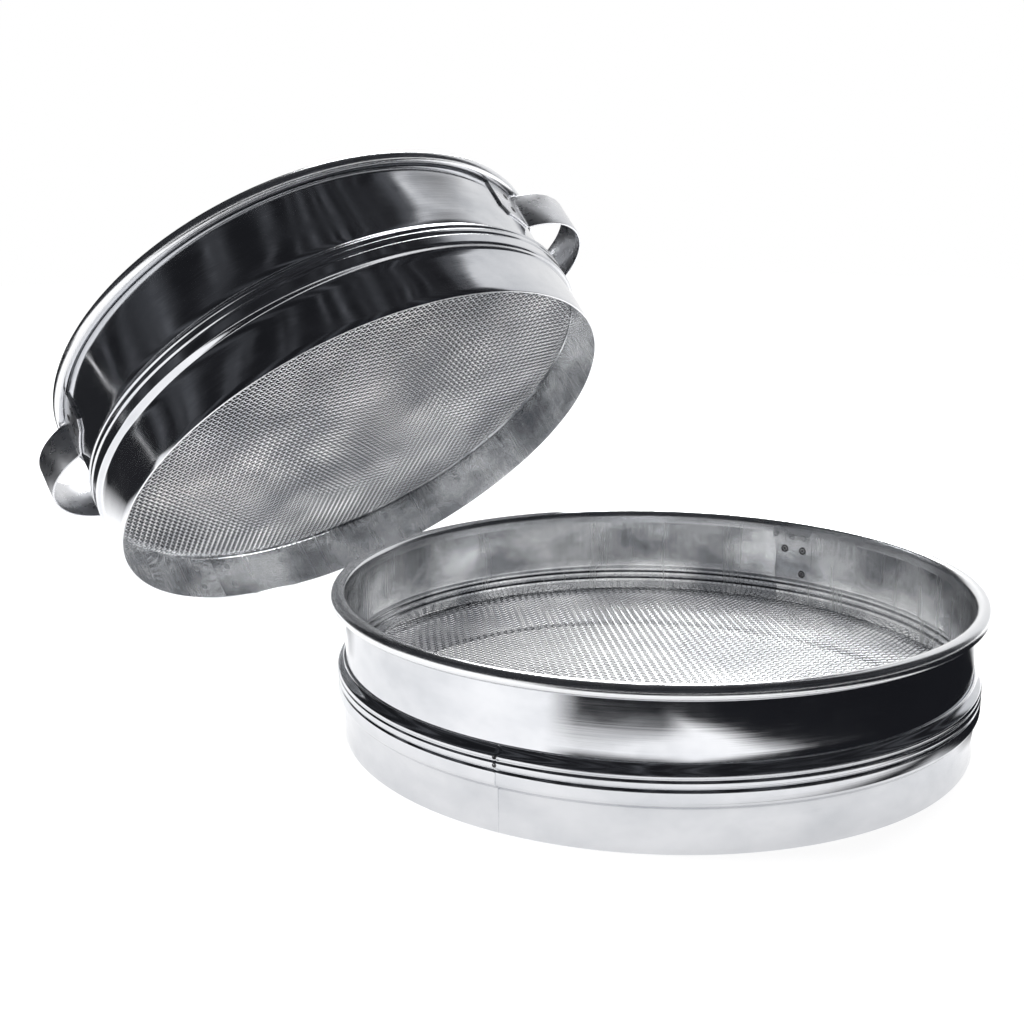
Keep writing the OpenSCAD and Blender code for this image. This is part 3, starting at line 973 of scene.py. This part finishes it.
def dome_colour(tree, place, turn):
    """The room's shapes, and a pale wall on one side that is brightest at its far end."""
    sides = compute(tree, "MULTIPLY",
                    ramp(tree, turn, radians(PALE_FROM - 1), radians(PALE_FROM + 2), 0, 1),
                    ramp(tree, turn, radians(PALE_TO - 6), radians(PALE_TO + 6), 1, 0))
    top = ramp(tree, turn, radians(PALE_FROM), radians(PALE_LOW_FROM), PALE_HIGH, PALE_LOW)
    over = compute(tree, "SUBTRACT", compute(tree, "DIVIDE", place["Z"], DOME_R), top)
    pale = compute(tree, "MULTIPLY", sides, ramp(tree, over, -0.03, 0.03, 1, 0))
    whiter = ramp(tree, turn, *np.radians(WHITER).tolist(), 0, 1)
    wall = mixed(tree, whiter, "#EFF0F2", "#FFFFFF")
    return mixed(tree, pale, room_shapes(tree, place, turn), wall)


only_mirrored("dark_dome",
              [(DOME_R * cos(e) * cos(a), DOME_R * cos(e) * sin(a), DOME_R * sin(e))
               for a in DOME_TURNS for e in DOME_RISES], net(len(DOME_TURNS), len(DOME_RISES)),
              flag_cloth("dark_studio_walls", lambda tree, place, turn: 1.0, dome_colour))

# %% The cloth on the floor in front
FRONT_TURN = (-84, 68)
FRONT_REACH = (125, 900)
FRONT_SOFT = 4
EDGE_SLANT = 79                 # millimetres a radian: the cloth's inner edge comes closer
EDGE_AT = (163, 178)
BAND = (149, 157, 3)            # from, to and softness, in millimetres from the middle
BAND_TURN = (-45, -10)
PATCH = (215, 330, 8)
PATCH_TURN = (-71, -43, 4)


def distance(tree):
    """Millimetres from the frame's origin."""
    where = add(tree, "ShaderNodeTexCoord").outputs["Object"]
    length = add(tree, "ShaderNodeVectorMath", {0: where}, operation="LENGTH").outputs["Value"]
    return compute(tree, "DIVIDE", length, MM)


def turned_window(tree, turn, low, high, soft):
    return window(tree, turn, radians(low), radians(high), radians(soft))


def front_cover(tree, place, turn):
    """Its inner edge runs closer to the sieve towards the right. A narrow band darkens the
    hollow under the bead, and a faint patch lies by itself on the left."""
    reach = distance(tree)
    slanted = compute(tree, "ADD", reach, compute(tree, "MULTIPLY", turn, EDGE_SLANT))
    main = ramp(tree, slanted, *EDGE_AT, 0, 1)
    band = compute(tree, "MULTIPLY", window(tree, reach, *BAND),
                   ramp(tree, turn, *np.radians(BAND_TURN).tolist(), 0, 1))
    patch = compute(tree, "MULTIPLY", window(tree, reach, *PATCH),
                    turned_window(tree, turn, *PATCH_TURN))
    dark = compute(tree, "MAXIMUM", compute(tree, "MAXIMUM", main, band), patch)
    ends = (FRONT_TURN[0] + FRONT_SOFT, FRONT_TURN[1] - FRONT_SOFT)
    return compute(tree, "MULTIPLY", dark, turned_window(tree, turn, *ends, FRONT_SOFT))


def floor_sector(turns, reach, steps):
    """Points and faces of a part of a ring that lies a millimetre over the floor."""
    return [(r * cos(a) * MM, r * sin(a) * MM, MM)
            for a in np.radians(np.linspace(*turns, steps)) for r in reach], net(steps, 2)


only_mirrored("dark_floor_cloth", *floor_sector(FRONT_TURN, FRONT_REACH, 40),
              flag_cloth("dark_floor_cloth", front_cover, plain("#1E1F23")))

# %% The far floor on the left
FAR_TURN = (128, 228)
FAR_REACH = (400, 3000)
FAR_EDGE = (420, 540)


def far_cover(tree, place, turn):
    return ramp(tree, distance(tree), *FAR_EDGE, 0, 1)


only_mirrored("dark_far_floor", *floor_sector(FAR_TURN, FAR_REACH, 30),
              flag_cloth("dark_far_floor", far_cover, plain("#28292C")))

# %% Painted shade and painted light under the upper sieve
SHADE = {"X": (-330, -70), "Y": (-95, 190)}
SHADE_SOFT = 30
# Painted light: the patch's white glows at a strength of 2.2, seen only by mirrors.
SHADE_GLOW = 2.2


def shade_colour(tree, place, turn):
    """Painted light and shade for mirrors: white that glows brighter than the paper, with
    grey places of painted shade some 70 mm wide, which the cloth's wires pick up.
    """
    cloud = object_noise(tree, 70, 1.0)
    return mixed(tree, ramp(tree, cloud, 0.42, 0.58, 0, 1), "#5A5B5F", "#FFFFFF")


def shade_cover(tree, place, turn):
    sides = [window(tree, place[axis], (low + SHADE_SOFT) * MM, (high - SHADE_SOFT) * MM,
                    SHADE_SOFT * MM) for axis, (low, high) in SHADE.items()]
    return compute(tree, "MULTIPLY", *sides)


only_mirrored("shade_under_upper_sieve",
              [(x * MM, y * MM, MM) for x in SHADE["X"] for y in SHADE["Y"]], net(2, 2),
              flag_cloth("shaded_paper", shade_cover, shade_colour, SHADE_GLOW))

# %% [markdown]
# ## Two dark things that the camera sees
# A thin ring of painted shadow lies on the floor inside the lower sieve's edge, and shows
# through its cloth. A dark card of painted shade behind the upper cloth makes its wires stand out.

# %% The ring of painted shadow where the lower sieve stands
CONTACT_W = 2.5                 # wide, because the paper's own glow washes out the true one
CONTACT_STEPS = 181


def painted_contact_shadow_ring():
    """A flat ring of painted shadow under the collar's inner edge, where the sieve stands."""
    material, tree = new_material("contact_shade")
    # Painted shadow: a dark glow in place of the contact shadow.
    show(tree, add(tree, "ShaderNodeEmission", {"Color": linear("#141517"), "Strength": 1.0}))
    inner = SPIGOT_R - SHEET
    points = [(r * cos(a) * MM, r * sin(a) * MM, 0.1 * MM)
              for a in np.radians(np.linspace(0, 360, CONTACT_STEPS))
              for r in (inner - CONTACT_W, inner + 0.3)]
    studio_piece("painted_contact_shadow_ring", points, net(CONTACT_STEPS, 2), material, ("diffuse", "shadow"))


painted_contact_shadow_ring()

# %% Painted shade behind the upper cloth
BACKING_GAP = 1.5
BACKING_STEPS = 96


def backing():
    """Black card of painted shade, in place of the dark inside seen through the cloth.
    It is clear from the bowl's side and moves with its sieve.
    """
    material, tree = new_material("black_backing_card")
    # Painted shade: a dark glow with paler patches some 45 mm wide.
    cloud = ramp(tree, object_noise(tree, 45, 2.0), 0.4, 0.7, 0, 1)
    glow = add(tree, "ShaderNodeEmission",
               {"Color": mixed(tree, cloud, "#131416", "#333438"), "Strength": 1.0})
    clear = add(tree, "ShaderNodeBsdfTransparent")
    behind = add(tree, "ShaderNodeNewGeometry").outputs["Backfacing"]
    show(tree, add(tree, "ShaderNodeMixShader",
                   {0: behind, 1: glow.outputs[0], 2: clear.outputs[0]}))
    r, z = DRUM_R - SHEET - 0.5, UPPER["mesh_z"] + BACKING_GAP
    points = [PLACE["upper"] @ (Vector((r * cos(a), r * sin(a), z)) * MM)
              for a in np.radians(np.linspace(360, 0, BACKING_STEPS, endpoint=False))]
    studio_piece("painted_shade_card", points, [tuple(range(BACKING_STEPS))], material,
                 ("diffuse", "shadow"), DRUM_SKIN["upper"])


backing()

# %% [markdown]
# ## Lamps
# Three large, soft lamps light the paper, which the steel mirrors. The one behind also
# shows in the steel itself and brightens the wires. The two at the sides don't, because a
# lamp mirrored in a round wall looks like a window.

# %% Lamps
LAMP_AIM = Vector((-0.08, 0, 0.08))
LAMP_AWAY = 1.7


def lamp(name, power, size, turn, rise, mirrored):
    """A square soft lamp, placed by its direction from the middle of the object."""
    data = bpy.data.lights.new(name, "AREA")
    data.energy = power
    data.size = size
    obj = link(bpy.data.objects.new(name, data))
    a, e = radians(turn), radians(rise)
    away = Vector((cos(a) * cos(e), sin(a) * cos(e), sin(e)))
    obj.location = LAMP_AIM + away * LAMP_AWAY
    obj.rotation_euler = away.to_track_quat("Z", "Y").to_euler()
    obj.visible_glossy = mirrored
    print(name, power, "W at", [round(v, 2) for v in obj.location])


lamp("soft_lamp_right", 14, 0.9, 100, 42, False)
lamp("soft_lamp_left", 12, 0.7, -135, 35, False)
lamp("soft_lamp_behind", 23, 0.9, 135, 50, True)

# %% [markdown]
# ## Camera
# The photograph was taken from the front right and a little above, with a normal lens.
# The place, the direction and the lens were fitted to the rims and edges of both sieves.

# %% Camera
CAMERA_PLACE = (320.2, -377.0, 190.5)
CAMERA_TURN, CAMERA_DOWN, CAMERA_ROLL = 46.74, 12.41, -0.22
IMAGE = 1024
FOCAL_PIXELS = 1302.7

data = bpy.data.cameras.new("camera")
data.sensor_width = 36
data.lens = FOCAL_PIXELS / IMAGE * data.sensor_width
data.clip_start = 0.01
camera = link(bpy.data.objects.new("camera", data))
look = (Matrix.Rotation(radians(CAMERA_TURN), 4, "Z")
        @ Matrix.Rotation(radians(90 - CAMERA_DOWN), 4, "X")
        @ Matrix.Rotation(radians(CAMERA_ROLL), 4, "Z"))
camera.matrix_world = Matrix.Translation(Vector(CAMERA_PLACE) * MM) @ look
bpy.context.scene.camera = camera
bpy.context.scene.view_settings.view_transform = "Standard"
print(f"lens {data.lens:.1f} mm")
